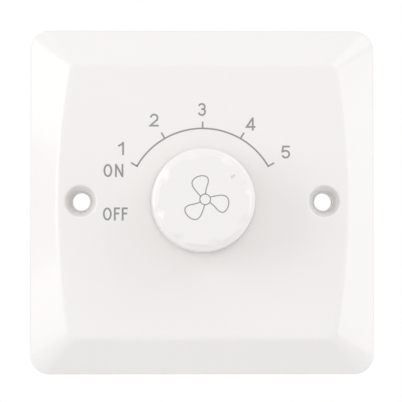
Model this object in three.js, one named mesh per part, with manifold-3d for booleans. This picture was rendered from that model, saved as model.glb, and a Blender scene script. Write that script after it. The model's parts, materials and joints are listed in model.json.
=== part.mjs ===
// Wall-plate rotary fan speed controller, 86 mm square, in millimetres.
// X is to the right of someone facing the plate, Z is up, and -Y points out of the wall.
// The origin is the middle of the plate on the wall plane, y = 0. The knob turns about Y.
import * as THREE from "three";
import { mergeVertices } from "three/addons/utils/BufferGeometryUtils.js";
import Module from "manifold-3d";

const wasm = await Module();
wasm.setup();

// ---------------------------------------------------------------- driving dimensions

const GAP = 0.3; // clearance left between neighbouring pieces

const PLATE = {
  half: 43, // half of 86
  corner: 5,
  rim: 2.2, // height of the upright edge
  front: -8.5, // y of the centre panel
  wall: 2.2,
  panelHalfX: 35.9,
  panelHalfZ: 34,
  panelCorner: 1.8,
  panelBulge: 3.3, // how far the bowed sides stand out past the panel's corners
};
const PANEL_BACK = PLATE.front + 2.3;

const FIXING = {
  x: 30.15, // half of the 60.3 mm fixing centres
  hole: 2.2, // radius
  recess: 3.85, // radius of the recess mouth
  recessFloor: 2.45,
  recessDepth: 4.9,
  boss: 5.4,
};

const BOARD = { front: 9.5, back: 11.1, halfX: 21.8, halfZ: 26.8 };
const PILLAR = { x: 19, z: 24, radius: 2 }; // moulded on the plate, ahead of the board
const POST = { x: 19.4, z: 24.4, radius: 1.8 }; // moulded in the housing, behind the board

const HOUSING = {
  halfX: 24,
  halfZ: 29,
  wall: 1.8,
  corner: 3,
  front: PANEL_BACK + GAP,
  back: 30,
  notchX: 10.6,
  notchZ: -16.4,
  notchFront: BOARD.back,
};
const EAR = { x: 15, z: 32.4, radius: 3.4, front: -3.6, back: -1.8, hole: 1.6, boss: 3 };
const EAR_SCREW = { head: 2.5, headHeight: 1.4, shank: 1.2, length: 5.2, slot: 1.6, slotDepth: 0.7 };
const VENT = { count: 5, pitch: 5.2, width: 1.8, bottom: -6, top: 18, front: 14, back: 25 };

const KNOB = {
  flange: 12.7,
  base: PLATE.front - 0.5,
  skirtTop: PLATE.front - 2.3,
  skirtEdge: PLATE.front - 1.0,
  bodyBase: 12.5,
  bodyFace: 12.4,
  shoulder: 1.25, // depth below the face at which the side begins
  ledge: 11.7,
  ledgeDepth: 0.8,
  flatFace: 10.95,
  face: -22.3,
  hollow: 10.1,
  faceWall: 2,
  hub: 5.4,
  hubBack: -14.2,
  flutes: 8,
  firstFlute: 15,
  fluteInner: 9.85, // nearest the scoops come to the knob's axis, at the face
  fluteRadius: 5.6,
  fluteTilt: 66,
  grooveInner: 8.2,
  grooveOuter: 9.7,
  grooveHalf: 0.4,
  grooveDepth: 0.5,
  pointer: 37.5, // degrees anticlockwise from +X, seen from the front
};
const SHAFT = { radius: 3, front: -19.4, back: 5.2, flat: 1.5, lobeTurn: 59.5 };
const BUSH = { flange: 6.8, tube: 3.5, bore: 3.3, front: -12.8, flangeHeight: 1 };

const POT = { radius: 11.8, wall: 0.8, front: BUSH.flangeHeight + PANEL_BACK + 2 * GAP, back: 1.3 };
const ROTOR = { radius: 9, front: -2.2, back: -0.6 };
const WIPER = { inner: 4.6, outer: 6.4, reach: 9.2, half: 0.8, front: -0.3, back: 0.2, tip: 1.2 };
const WAFER = { front: 1.6, back: 2.8, radius: 11.8, bore: 3.4, tabX: 7.4, tabZ: -15.4 };
const SWITCH = { halfX: 11.5, halfZ: 10.6, wall: 0.9, front: 3.1, back: 8 };
const LUG_X = 4;
const LUG_Z = 5.2;
const ARM = { pivotX: -8, pivotZ: 6.6, front: 4, back: 6.4, tipX: 5.4, boss: 1.5, bore: 0.95, pin: 0.6 };
const PIN = { pitch: 5, width: 1.2, thick: 0.6, tip: 12.1 };

const TERMINAL = {
  pitch: 9.6,
  halfX: 10.2,
  front: BOARD.back + GAP,
  back: 27,
  bottom: -28.6,
  top: -16.9,
  chamberX: 3.8,
  chamberBack: 24.3,
  entry: 2.3,
};
const CAGE = { halfX: 3.5, wall: 1, front: 12.9, back: 20.8, bottom: -26.4, top: -20 };
const BAR = { halfX: 1.8, front: 18.3, back: 19.4, top: -19.4, bottom: -26.4 };
const CLAMP_SCREW = { head: 2.6, headBack: 26.7, headFront: 25.2, shank: 1.7, tip: 19.7 };

const SINK = { halfX: 15, bottom: 22.6, top: 24.1, front: 11.5, back: 27.6 };
const TRIAC_BACK = SINK.bottom - 0.85;
const CHOKE = {
  x: -9.4,
  z: -2.4,
  outer: 9.6,
  inner: 5,
  front: 13.8,
  back: 21.6,
  turns: 18,
  wire: 0.45, // radius
  start: -30, // degrees round the ring
  sweep: 300,
  cornerReach: 1.3, // how far the wire swings out over the core's corners
};
const FUSE = { x: 18.2, z: -6, y: 15.4, half: 10, glass: 2.3, cap: 2.6, capLength: 5, clip: 7.4, clipHalf: 1.8 };

// ---------------------------------------------------------------- finishes

const finish = (color, roughness, metalness = 0) =>
  new THREE.MeshStandardMaterial({ color, roughness, metalness });
const WHITE_PLASTIC = finish(0xeeeeec, 0.25);
const DARK_PLASTIC = finish(0x26272a, 0.5);
const GREY_PLASTIC = finish(0x8d9092, 0.5);
const GREEN_PLASTIC = finish(0x2f6b46, 0.45);
const PHENOLIC = finish(0x9a6a3a, 0.6);
const BOARD_GREEN = finish(0x2c6e49, 0.45);
const STEEL = finish(0xb9bcbe, 0.3, 1);
const BRASS = finish(0xc9a44c, 0.3, 1);
const ALUMINIUM = finish(0xc6c8ca, 0.4, 1);
const TINNED = finish(0xd0d2d3, 0.25, 1);
const COPPER = finish(0xb4572e, 0.3, 1);
const FERRITE = finish(0x9fa24a, 0.6);
const YELLOW = finish(0xd8b93a, 0.4);
const GLASS = finish(0xdfe6e4, 0.1);
const BEIGE = finish(0xcdb48a, 0.5);

// ---------------------------------------------------------------- solids

function solid(geometry) {
  const bare = geometry.clone();
  bare.deleteAttribute("normal");
  bare.deleteAttribute("uv");
  const merged = mergeVertices(bare, 1e-4);
  return new wasm.Manifold(
    new wasm.Mesh({
      numProp: 3,
      vertProperties: merged.attributes.position.array,
      triVerts: new Uint32Array(merged.index.array),
    }),
  );
}

function geometryOf(manifold) {
  const mesh = manifold.getMesh();
  const geometry = new THREE.BufferGeometry();
  geometry.setAttribute("position", new THREE.BufferAttribute(mesh.vertProperties, 3));
  geometry.setIndex(new THREE.BufferAttribute(mesh.triVerts, 1));
  return geometry;
}

function cut(body, ...tools) {
  return geometryOf(tools.reduce((left, tool) => left.subtract(solid(tool)), solid(body)));
}

function join(body, ...others) {
  return geometryOf(others.reduce((whole, other) => whole.add(solid(other)), solid(body)));
}

// A box between two values on each axis.
function block(x0, x1, y0, y1, z0, z1) {
  const box = new THREE.BoxGeometry(x1 - x0, y1 - y0, z1 - z0);
  return box.translate((x0 + x1) / 2, (y0 + y1) / 2, (z0 + z1) / 2);
}

// A round bar along Y; its radius can change from its first end to its last.
function rodY(radius, y0, y1, x = 0, z = 0, sides = 24, lastRadius = radius) {
  const rod = new THREE.CylinderGeometry(lastRadius, radius, y1 - y0, sides);
  return rod.translate(x, (y0 + y1) / 2, z);
}

function rodX(radius, x0, x1, y, z, sides = 12) {
  const rod = new THREE.CylinderGeometry(radius, radius, x1 - x0, sides).rotateZ(Math.PI / 2);
  return rod.translate((x0 + x1) / 2, y, z);
}

function rodZ(radius, z0, z1, x, y, sides = 12) {
  const rod = new THREE.CylinderGeometry(radius, radius, z1 - z0, sides).rotateX(Math.PI / 2);
  return rod.translate(x, y, (z0 + z1) / 2);
}

// A ring about Y with a rectangular section.
function ringY(inner, outer, y0, y1, sides = 32) {
  const section = [
    [inner, y0],
    [outer, y0],
    [outer, y1],
    [inner, y1],
    [inner, y0],
  ];
  return new THREE.LatheGeometry(section.map(([r, y]) => new THREE.Vector2(r, y)), sides);
}

// A ring of points: a rectangle with round corners whose left and right sides bow out.
function outline(halfX, halfZ, corner, bulge, y, cornerSteps = 6, sideSteps = 8) {
  const points = [];
  const centreX = halfX - corner;
  const centreZ = halfZ - corner;
  const bowed = (x, z) => new THREE.Vector3(x * (1 - (bulge / halfX) * (z / halfZ) ** 2), y, z);
  for (let quarter = 0; quarter < 4; quarter += 1) {
    const signX = quarter === 0 || quarter === 3 ? 1 : -1;
    const signZ = quarter < 2 ? 1 : -1;
    for (let step = 0; step <= cornerSteps; step += 1) {
      const angle = (quarter + step / cornerSteps) * (Math.PI / 2);
      const x = signX * centreX + corner * Math.cos(angle);
      points.push(bowed(x, signZ * centreZ + corner * Math.sin(angle)));
    }
    for (let step = 1; step < sideSteps && quarter % 2 === 1; step += 1) {
      const along = 1 - (2 * step) / sideSteps;
      points.push(bowed(signX * halfX, -signX * along * centreZ));
    }
  }
  return points;
}

// A closed skin through rings with equal numbers of points, listed from front to back.
function loft(rings) {
  const count = rings[0].length;
  const index = [];
  for (let ring = 0; ring + 1 < rings.length; ring += 1) {
    for (let i = 0; i < count; i += 1) {
      const a = ring * count + i;
      const b = ring * count + ((i + 1) % count);
      index.push(a, b + count, b, a, a + count, b + count);
    }
  }
  const last = (rings.length - 1) * count;
  for (let i = 1; i + 1 < count; i += 1) {
    index.push(0, i, i + 1, last, last + i + 1, last + i);
  }
  const geometry = new THREE.BufferGeometry();
  const values = rings.flat().flatMap((point) => [point.x, point.y, point.z]);
  geometry.setAttribute("position", new THREE.Float32BufferAttribute(values, 3));
  geometry.setIndex(index);
  return geometry;
}

function roundedBlock(halfX, halfZ, corner, y0, y1) {
  return loft([outline(halfX, halfZ, corner, 0, y0, 3, 1), outline(halfX, halfZ, corner, 0, y1, 3, 1)]);
}

// A round wire along a path of points.
function wire(points, radius, sides = 6, steps = points.length * 2) {
  const path = new THREE.CatmullRomCurve3(points.map((p) => new THREE.Vector3(...p)));
  return tubeAlong(path, radius, sides, steps);
}

function tubeAlong(path, radius, sides, steps) {
  const section = new THREE.Shape();
  for (let i = 0; i < sides; i += 1) {
    const angle = (2 * Math.PI * i) / sides;
    const x = radius * Math.cos(angle);
    const y = radius * Math.sin(angle);
    if (i === 0) section.moveTo(x, y);
    else section.lineTo(x, y);
  }
  return new THREE.ExtrudeGeometry(section, { steps, extrudePath: path, curveSegments: 1 });
}

// ---------------------------------------------------------------- assembly

const controller = new THREE.Group();

function add(name, geometry, material) {
  const mesh = new THREE.Mesh(geometry, material);
  mesh.name = name;
  controller.add(mesh);
}

const SIDES = [-1, 1];
const CORNERS = [
  [-1, 1],
  [1, 1],
  [-1, -1],
  [1, -1],
];

// The moulded plate: an upright rim, four sloping bevels and a panel with bowed sides.
function frontPlate() {
  const skin = loft([
    outline(PLATE.panelHalfX, PLATE.panelHalfZ, PLATE.panelCorner, PLATE.panelBulge, PLATE.front),
    outline(PLATE.half, PLATE.half, PLATE.corner, 0, -PLATE.rim),
    outline(PLATE.half, PLATE.half, PLATE.corner, 0, 0),
  ]);
  const inside = PLATE.half - PLATE.wall;
  const hollow = loft([
    outline(PLATE.panelHalfX - 0.7, PLATE.panelHalfZ - 0.7, 1.2, PLATE.panelBulge, PANEL_BACK),
    outline(inside, inside, 3, 0, 1 - PLATE.rim),
    outline(inside, inside, 3, 0, 1),
  ]);
  const bosses = [];
  const tools = [rodY(BUSH.tube + GAP, PLATE.front - 1, PANEL_BACK + 1, 0, 0, 32)];
  for (const side of SIDES) {
    const x = side * FIXING.x;
    const floor = PLATE.front + FIXING.recessDepth;
    bosses.push(rodY(FIXING.boss, PANEL_BACK - 0.5, 0, x, 0, 26));
    const taper = (FIXING.recess - FIXING.recessFloor) / FIXING.recessDepth;
    tools.push(rodY(FIXING.recess + taper, PLATE.front - 1, floor, x, 0, 30, FIXING.recessFloor));
    tools.push(rodY(FIXING.hole, PLATE.front - 1, 1, x, 0, 22));
  }
  for (const [sx, sz] of CORNERS) {
    bosses.push(rodY(PILLAR.radius, PANEL_BACK - 0.5, BOARD.front - GAP, sx * PILLAR.x, sz * PILLAR.z, 12));
    bosses.push(rodY(EAR.boss, PANEL_BACK - 0.5, EAR.front - GAP, sx * EAR.x, sz * EAR.z, 16));
    tools.push(rodY(EAR_SCREW.shank + GAP, PANEL_BACK - 0.6, 1, sx * EAR.x, sz * EAR.z, 12));
  }
  add("front_plate", cut(join(cut(skin, hollow), ...bosses), ...tools), WHITE_PLASTIC);
}

// The knob: a low skirt, a round body, a flat face with scooped edges and a hub with a flat-sided bore.
function knob() {
  const wallFace = KNOB.face + KNOB.faceWall;
  const profile = [
    [0, KNOB.face],
    [KNOB.flatFace, KNOB.face],
    [KNOB.ledge, KNOB.face + KNOB.ledgeDepth],
    [KNOB.bodyFace, KNOB.face + KNOB.shoulder],
    [KNOB.bodyBase, KNOB.skirtTop],
    [KNOB.flange, KNOB.skirtEdge],
    [KNOB.flange, KNOB.base],
    [KNOB.hollow + 0.6, KNOB.base],
    [KNOB.hollow, wallFace],
    [KNOB.hub, wallFace],
    [KNOB.hub, KNOB.hubBack],
    [0, KNOB.hubBack],
  ];
  const turned = new THREE.LatheGeometry(profile.map(([r, y]) => new THREE.Vector2(r, y)), 64);
  const bore = cut(
    rodY(SHAFT.radius + 0.75, SHAFT.front - GAP, KNOB.hubBack + 1, 0, 0, 24),
    block(-5, 5, SHAFT.front - 1, KNOB.hubBack + 2, SHAFT.flat + GAP, 6),
  );
  const tools = [bore];
  for (let i = 0; i < KNOB.flutes; i += 1) {
    tools.push(fluteTool(KNOB.firstFlute + (i * 360) / KNOB.flutes));
  }
  const groove = block(
    KNOB.grooveInner, KNOB.grooveOuter, KNOB.face - 1, KNOB.face + KNOB.grooveDepth,
    -KNOB.grooveHalf, KNOB.grooveHalf,
  );
  tools.push(groove.rotateY(-THREE.MathUtils.degToRad(KNOB.pointer)));
  add("knob", cut(turned, ...tools), WHITE_PLASTIC);
}

// A round bar that leans far outwards, so that it scoops the face's edge down to the ledge around it.
function fluteTool(degrees) {
  const tilt = THREE.MathUtils.degToRad(KNOB.fluteTilt);
  const scoop = new THREE.CylinderGeometry(KNOB.fluteRadius, KNOB.fluteRadius, 34, 48);
  scoop.rotateZ(-tilt);
  scoop.translate(KNOB.fluteInner + KNOB.fluteRadius / Math.cos(tilt), KNOB.face, 0);
  return scoop.rotateY(-THREE.MathUtils.degToRad(degrees));
}

// A steel insert in the knob's bore that grips the flat of the shaft.
function knobSpring() {
  const sleeve = ringY(SHAFT.radius + 0.25, SHAFT.radius + 0.5, SHAFT.front + 0.2, KNOB.hubBack - 0.2, 24);
  const slot = block(-4, 4, SHAFT.front - 1, KNOB.hubBack + 1, 1.2, 5);
  add("knob_spring", cut(sleeve, slot), STEEL);
}

// The spindle, with a flat for the knob and a cam lobe that works the switch.
function shaft() {
  const spindle = rodY(SHAFT.radius, SHAFT.front, SHAFT.back, 0, 0, 24);
  const flat = block(-5, 5, SHAFT.front - 1, KNOB.hubBack + 0.4, SHAFT.flat, 5);
  const lobe = block(0, 5.4, SHAFT.back - 1.6, SHAFT.back, -1.2, 1.2);
  lobe.rotateY(THREE.MathUtils.degToRad(SHAFT.lobeTurn));
  add("shaft", join(cut(spindle, flat), lobe), BRASS);
}

function bushAndNut() {
  const flangeFront = PANEL_BACK + GAP;
  const flangeBack = flangeFront + BUSH.flangeHeight;
  const outer = join(
    rodY(BUSH.flange, flangeFront, flangeBack, 0, 0, 32),
    rodY(BUSH.tube, BUSH.front, flangeBack, 0, 0, 32),
  );
  add("bush", cut(outer, rodY(BUSH.bore, BUSH.front - 1, flangeBack + 1, 0, 0, 24)), BRASS);
  const washerBack = PLATE.front - GAP;
  const hole = BUSH.tube + GAP;
  add("bush_washer", ringY(hole, 6.5, washerBack - 0.6, washerBack, 32), STEEL);
  const nutBack = washerBack - 0.6 - GAP;
  const hexagon = rodY(5.8, nutBack - 2, nutBack, 0, 0, 6);
  add("bush_nut", cut(hexagon, rodY(hole, nutBack - 3, nutBack + 1, 0, 0, 24)), STEEL);
}

// The speed control: a cup, the rotor and its wiper, and the wafer that carries the track.
function potentiometer() {
  const cup = cut(
    rodY(POT.radius, POT.front, POT.back, 0, 0, 40),
    rodY(POT.radius - POT.wall, POT.front + POT.wall, POT.back + 1, 0, 0, 40),
    rodY(SHAFT.radius + GAP, POT.front - 1, POT.back, 0, 0, 24),
  );
  add("pot_cover", cup, STEEL);
  add("rotor", ringY(SHAFT.radius + GAP, ROTOR.radius, ROTOR.front, ROTOR.back, 32), DARK_PLASTIC);
  const { inner, outer, reach, half, front: near, back: far, tip } = WIPER;
  const carrier = ringY(inner, outer, near, far, 24);
  const finger = join(
    block(outer - half, reach, near, far, -half, half),
    block(reach - 1.2, reach, near, tip, -half, half),
  );
  finger.rotateY(-THREE.MathUtils.degToRad(KNOB.pointer));
  add("wiper", join(carrier, finger), BRASS);
  const wafer = cut(
    join(
      rodY(WAFER.radius, WAFER.front, WAFER.back, 0, 0, 40),
      block(-WAFER.tabX, WAFER.tabX, WAFER.front, WAFER.back, WAFER.tabZ, 0),
    ),
    rodY(WAFER.bore, WAFER.front - 1, WAFER.back + 1, 0, 0, 24),
  );
  add("pot_wafer", wafer, PHENOLIC);
  for (let i = 0; i < 3; i += 1) {
    const x = (i - 1) * PIN.pitch;
    const front = WAFER.back + GAP;
    const low = WAFER.tabZ + 0.2;
    const pin = join(
      block(x - PIN.width / 2, x + PIN.width / 2, front, front + PIN.thick, low, low + 3),
      block(x - PIN.width / 2, x + PIN.width / 2, front, PIN.tip, low, low + PIN.thick),
    );
    add(`pot_pin_${i + 1}`, pin, TINNED);
  }
}

// The mains switch behind the speed control: a box, two lugs and the arm that bridges them.
function mainsSwitch() {
  const inner = { x: SWITCH.halfX - SWITCH.wall, z: SWITCH.halfZ - SWITCH.wall };
  const shell = cut(
    block(-SWITCH.halfX, SWITCH.halfX, SWITCH.front, SWITCH.back, -SWITCH.halfZ, SWITCH.halfZ),
    block(-inner.x, inner.x, SWITCH.front - 1, SWITCH.back - SWITCH.wall, -inner.z, inner.z),
  );
  const slots = SIDES.map((side) =>
    block(side * LUG_X - 1.5, side * LUG_X + 1.5, 6, 10, LUG_Z - GAP, LUG_Z + PIN.thick + GAP),
  );
  const pivot = rodY(ARM.pin, ARM.front, SWITCH.back - 0.5, ARM.pivotX, ARM.pivotZ, 12);
  add("switch_case", join(cut(shell, ...slots), pivot), DARK_PLASTIC);
  SIDES.forEach((side, i) => {
    const x = side * LUG_X;
    const lug = block(x - 1.2, x + 1.2, 4.2, PIN.tip, LUG_Z, LUG_Z + PIN.thick);
    add(`switch_lug_${i + 1}`, lug, TINNED);
  });
  const low = LUG_Z + PIN.thick + GAP;
  const arm = join(
    rodY(ARM.boss, ARM.front, ARM.back, ARM.pivotX, ARM.pivotZ, 16),
    block(ARM.pivotX + 0.6, ARM.tipX, ARM.front, ARM.back, low, low + 0.8),
  );
  const bore = rodY(ARM.bore, ARM.front - 1, ARM.back + 1, ARM.pivotX, ARM.pivotZ, 16);
  add("switch_arm", cut(arm, bore), BRASS);
}

// Lead places on the board: x, z and hole radius.
const LEADS = {
  triac: [-2.54, 0, 2.54].map((x) => [x, TRIAC_BACK - 2.4]),
  film: [
    [10.2, -12.2],
    [10.2, 2.8],
  ],
  timing: [
    [9.5, 12],
    [14.5, 12],
  ],
  diac: [
    [-2.6, 13.4],
    [5.2, 13.4],
  ],
  resistorOne: [
    [-18.6, 12.2],
    [-7.4, 12.2],
  ],
  resistorTwo: [
    [-18.6, 16.4],
    [-7.4, 16.4],
  ],
  choke: [
    [CHOKE.x + 11.3, CHOKE.z - 7.4],
    [CHOKE.x + 11.3, CHOKE.z - 10.2],
  ],
};
const LEAD_TIP = BOARD.front - 1.2;
const LEAD = 0.4;

function circuitBoard() {
  const blank = block(-BOARD.halfX, BOARD.halfX, BOARD.front, BOARD.back, -BOARD.halfZ, BOARD.halfZ);
  const through = [BOARD.front - 1, BOARD.back + 1];
  const holes = Object.values(LEADS)
    .flat()
    .map(([x, z]) => rodY(LEAD + 0.45, ...through, x, z, 8));
  for (let i = -1; i <= 1; i += 1) {
    const low = WAFER.tabZ + 0.2;
    holes.push(block(i * PIN.pitch - 1, i * PIN.pitch + 1, ...through, low - GAP, low + PIN.thick + GAP));
  }
  for (const side of SIDES) {
    const x = side * LUG_X;
    holes.push(block(x - 1.6, x + 1.6, ...through, LUG_Z - GAP, LUG_Z + PIN.thick + GAP));
    const pole = (side * TERMINAL.pitch) / 2;
    holes.push(block(pole - 1.6, pole + 1.6, ...through, BAR.top - GAP, BAR.top + 1.2 + GAP));
    const leg = side * (SINK.halfX - 2);
    holes.push(block(leg - 1.4, leg + 1.4, ...through, SINK.bottom - GAP, SINK.top + GAP));
    const clip = FUSE.z + side * FUSE.clip;
    holes.push(block(FUSE.x - 1.3, FUSE.x + 1.3, ...through, clip - 0.8, clip + 0.8));
  }
  add("circuit_board", cut(blank, ...holes), BOARD_GREEN);
}

// The triac, bolted through an insulating pad to an upright aluminium plate.
function triacOnHeatSink() {
  const boltY = 24.6;
  const boltHole = rodZ(1.9, 15, 27, 0, boltY, 16);
  const legs = SIDES.map((side) => {
    const x = side * (SINK.halfX - 2);
    return block(x - 1, x + 1, LEAD_TIP, SINK.front + 1, SINK.bottom, SINK.top);
  });
  const plate = block(-SINK.halfX, SINK.halfX, SINK.front, SINK.back, SINK.bottom, SINK.top);
  add("heat_sink", cut(join(plate, ...legs), boltHole), ALUMINIUM);

  const tab = block(-5, 5, 20, 27.4, TRIAC_BACK - 1.3, TRIAC_BACK);
  const body = block(-5.1, 5.1, 12.2, 21, TRIAC_BACK - 4.4, TRIAC_BACK);
  const leads = LEADS.triac.map(([x, z]) => block(x - LEAD, x + LEAD, LEAD_TIP, 13, z - LEAD, z + LEAD));
  add("triac", cut(join(body, tab, ...leads), boltHole), DARK_PLASTIC);

  const pad = block(-6, 6, 12.2, 27.3, TRIAC_BACK + GAP, SINK.bottom - GAP);
  add("insulating_pad", cut(pad, boltHole), GREY_PLASTIC);

  const headTop = TRIAC_BACK - 1.3 - GAP;
  const head = rodZ(2.7, headTop - 1.8, headTop, 0, boltY, 20);
  const screw = join(head, rodZ(1.5, headTop - 1, 26.9, 0, boltY, 16));
  add("triac_screw", screw, STEEL);
  const nut = cut(rodZ(3.1, SINK.top + GAP, SINK.top + 2.4, 0, boltY, 6), rodZ(1.8, 20, 28, 0, boltY, 16));
  add("triac_nut", nut, STEEL);
}

// The choke: a ring core and its winding, one wire laid in a single layer.
function choke() {
  const core = ringY(CHOKE.inner, CHOKE.outer, CHOKE.front, CHOKE.back, 40);
  add("choke_core", core.translate(CHOKE.x, 0, CHOKE.z), FERRITE);
  const clear = CHOKE.wire + GAP + 0.25;
  const halfWide = (CHOKE.outer - CHOKE.inner) / 2 + clear;
  const halfTall = (CHOKE.back - CHOKE.front) / 2 + clear;
  const middle = (CHOKE.outer + CHOKE.inner) / 2;
  const middleY = (CHOKE.back + CHOKE.front) / 2;
  const sweep = THREE.MathUtils.degToRad(CHOKE.sweep);
  const start = THREE.MathUtils.degToRad(CHOKE.start);
  const path = [];
  const perTurn = 8;
  for (let i = 0; i <= CHOKE.turns * perTurn; i += 1) {
    const turn = (2 * Math.PI * i) / perTurn;
    // corners of a rounded square, so that the wire lies close along all four sides of the core
    const square = 1 / Math.max(Math.abs(Math.cos(turn)), Math.abs(Math.sin(turn)));
    const reach = Math.min(square, CHOKE.cornerReach);
    const around = start + (sweep * i) / (CHOKE.turns * perTurn);
    const radius = middle + halfWide * reach * Math.cos(turn);
    const y = middleY + halfTall * reach * Math.sin(turn);
    path.push([CHOKE.x + radius * Math.cos(around), y, CHOKE.z + radius * Math.sin(around)]);
  }
  add("choke_winding", wire(path, CHOKE.wire, 6, CHOKE.turns * perTurn), COPPER);
}

// A two-lead part standing on the board: its body with straight leads below it.
function standingPart(name, body, leads, material) {
  const legs = leads.map(([x, z]) => rodY(LEAD, LEAD_TIP, BOARD.back + 2, x, z, 8));
  add(name, join(body, ...legs), material);
}

// An axial part lying above the board: its body, and leads bent down at both ends.
function axialPart(name, leads, radius, bodyHalf, material) {
  const [[x0, z], [x1]] = leads;
  const y = BOARD.back + radius + 0.7;
  const middle = (x0 + x1) / 2;
  const body = rodX(radius, middle - bodyHalf, middle + bodyHalf, y, z, 16);
  const along = rodX(LEAD * 0.8, x0, x1, y, z, 8);
  const legs = [x0, x1].map((x) => rodY(LEAD, LEAD_TIP, y + 0.6, x, z, 8));
  add(name, join(body, along, ...legs), material);
}

// The glass fuse in its two spring clips.
function fuse() {
  const glass = rodZ(FUSE.glass, FUSE.z - FUSE.half, FUSE.z + FUSE.half, FUSE.x, FUSE.y, 20);
  const caps = SIDES.map((side) => {
    const ends = [FUSE.z + side * FUSE.half, FUSE.z + side * (FUSE.half - FUSE.capLength)];
    return rodZ(FUSE.cap, Math.min(...ends), Math.max(...ends), FUSE.x, FUSE.y, 20);
  });
  add("fuse", join(glass, ...caps), GLASS);
  SIDES.forEach((side, i) => {
    const z = FUSE.z + side * FUSE.clip;
    const inner = FUSE.cap + GAP;
    const outer = inner + 0.5;
    const grip = cut(
      rodZ(outer, z - FUSE.clipHalf, z + FUSE.clipHalf, FUSE.x, FUSE.y, 20),
      rodZ(inner, z - 3, z + 3, FUSE.x, FUSE.y, 20),
      block(FUSE.x - 2, FUSE.x + 2, FUSE.y, FUSE.y + 5, z - 3, z + 3),
    );
    const foot = block(FUSE.x - 1, FUSE.x + 1, LEAD_TIP, FUSE.y - inner - 0.1, z - 0.4, z + 0.4);
    add(`fuse_clip_${i + 1}`, join(grip, foot), TINNED);
  });
}

// The terminal block: an open-fronted body with two chambers, each with an entry and a screw hole.
function terminalBlock() {
  const body = block(
    -TERMINAL.halfX, TERMINAL.halfX, TERMINAL.front, TERMINAL.back, TERMINAL.bottom, TERMINAL.top,
  );
  const screwZ = (CAGE.bottom + CAGE.top) / 2;
  const tools = [];
  for (const side of SIDES) {
    const x = (side * TERMINAL.pitch) / 2;
    tools.push(
      block(
        x - TERMINAL.chamberX, x + TERMINAL.chamberX, TERMINAL.front - 1, TERMINAL.chamberBack,
        CAGE.bottom - GAP, TERMINAL.top - 1,
      ),
      block(
        x - TERMINAL.entry, x + TERMINAL.entry, CAGE.front + CAGE.wall, BAR.front,
        TERMINAL.bottom - 1, CAGE.bottom,
      ),
      rodY(CLAMP_SCREW.shank + GAP, TERMINAL.chamberBack - 1, TERMINAL.back + 1, x, screwZ, 20),
      rodY(CLAMP_SCREW.head + GAP, CLAMP_SCREW.headFront - GAP, TERMINAL.back + 1, x, screwZ, 24),
    );
  }
  add("terminal_block", cut(body, ...tools), GREY_PLASTIC);
  SIDES.forEach((side, i) => {
    const x = (side * TERMINAL.pitch) / 2;
    addPole(i + 1, x, screwZ);
  });
}

// One pole: the rising cage, the fixed contact bar and the screw that draws them together.
function addPole(number, x, screwZ) {
  const cage = cut(
    block(x - CAGE.halfX, x + CAGE.halfX, CAGE.front, CAGE.back, CAGE.bottom, CAGE.top),
    block(
      x - CAGE.halfX + CAGE.wall, x + CAGE.halfX - CAGE.wall, CAGE.front + CAGE.wall, CAGE.back - CAGE.wall,
      CAGE.bottom - 1, CAGE.top + 1,
    ),
    rodY(CLAMP_SCREW.shank + GAP, CAGE.back - 2, CAGE.back + 1, x, screwZ, 20),
  );
  add(`cage_${number}`, cage, BRASS);
  const bar = join(
    block(x - BAR.halfX, x + BAR.halfX, BAR.front, BAR.back, BAR.bottom, BAR.top + 1.2),
    block(x - 1.2, x + 1.2, LEAD_TIP, BAR.back, BAR.top, BAR.top + 1.2),
  );
  add(`contact_bar_${number}`, bar, TINNED);
  const screw = cut(
    join(
      rodY(CLAMP_SCREW.head, CLAMP_SCREW.headFront, CLAMP_SCREW.headBack, x, screwZ, 24),
      rodY(CLAMP_SCREW.shank, CLAMP_SCREW.tip, CLAMP_SCREW.headFront + 0.5, x, screwZ, 20),
    ),
    block(x - 3, x + 3, CLAMP_SCREW.headBack - 0.8, CLAMP_SCREW.headBack + 1, screwZ - 0.4, screwZ + 0.4),
  );
  add(`terminal_screw_${number}`, screw, STEEL);
}

// The rear housing: a box open to the front, with ears, vents, board posts and a terminal notch.
function rearHousing() {
  const innerX = HOUSING.halfX - HOUSING.wall;
  const innerZ = HOUSING.halfZ - HOUSING.wall;
  const shell = cut(
    roundedBlock(HOUSING.halfX, HOUSING.halfZ, HOUSING.corner, HOUSING.front, HOUSING.back),
    roundedBlock(innerX, innerZ, 1.2, HOUSING.front - 1, HOUSING.back - HOUSING.wall),
  );
  const extras = [];
  const tools = [
    block(
      -HOUSING.notchX, HOUSING.notchX, HOUSING.notchFront, HOUSING.back + 1,
      -HOUSING.halfZ - 1, HOUSING.notchZ,
    ),
  ];
  for (const [sx, sz] of CORNERS) {
    const x = sx * EAR.x;
    const inward = sz * (HOUSING.halfZ - 0.9);
    extras.push(
      rodY(EAR.radius, EAR.front, EAR.back, x, sz * EAR.z, 20),
      block(
        x - EAR.radius, x + EAR.radius, EAR.front, EAR.back,
        Math.min(inward, sz * EAR.z), Math.max(inward, sz * EAR.z),
      ),
      rodY(POST.radius, BOARD.back + GAP, HOUSING.back - 1, sx * POST.x, sz * POST.z, 12),
    );
    tools.push(rodY(EAR.hole, EAR.front - 1, EAR.back + 1, x, sz * EAR.z, 16));
  }
  for (let i = 0; i < VENT.count; i += 1) {
    const left = (i - (VENT.count - 1) / 2) * VENT.pitch - VENT.width / 2;
    const right = left + VENT.width;
    tools.push(
      block(left, right, HOUSING.back - 3, HOUSING.back + 1, VENT.bottom, VENT.top),
      block(left, right, VENT.front, VENT.back, HOUSING.halfZ - 3, HOUSING.halfZ + 1),
    );
  }
  add("rear_housing", cut(join(shell, ...extras), ...tools), GREY_PLASTIC);
}

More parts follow.
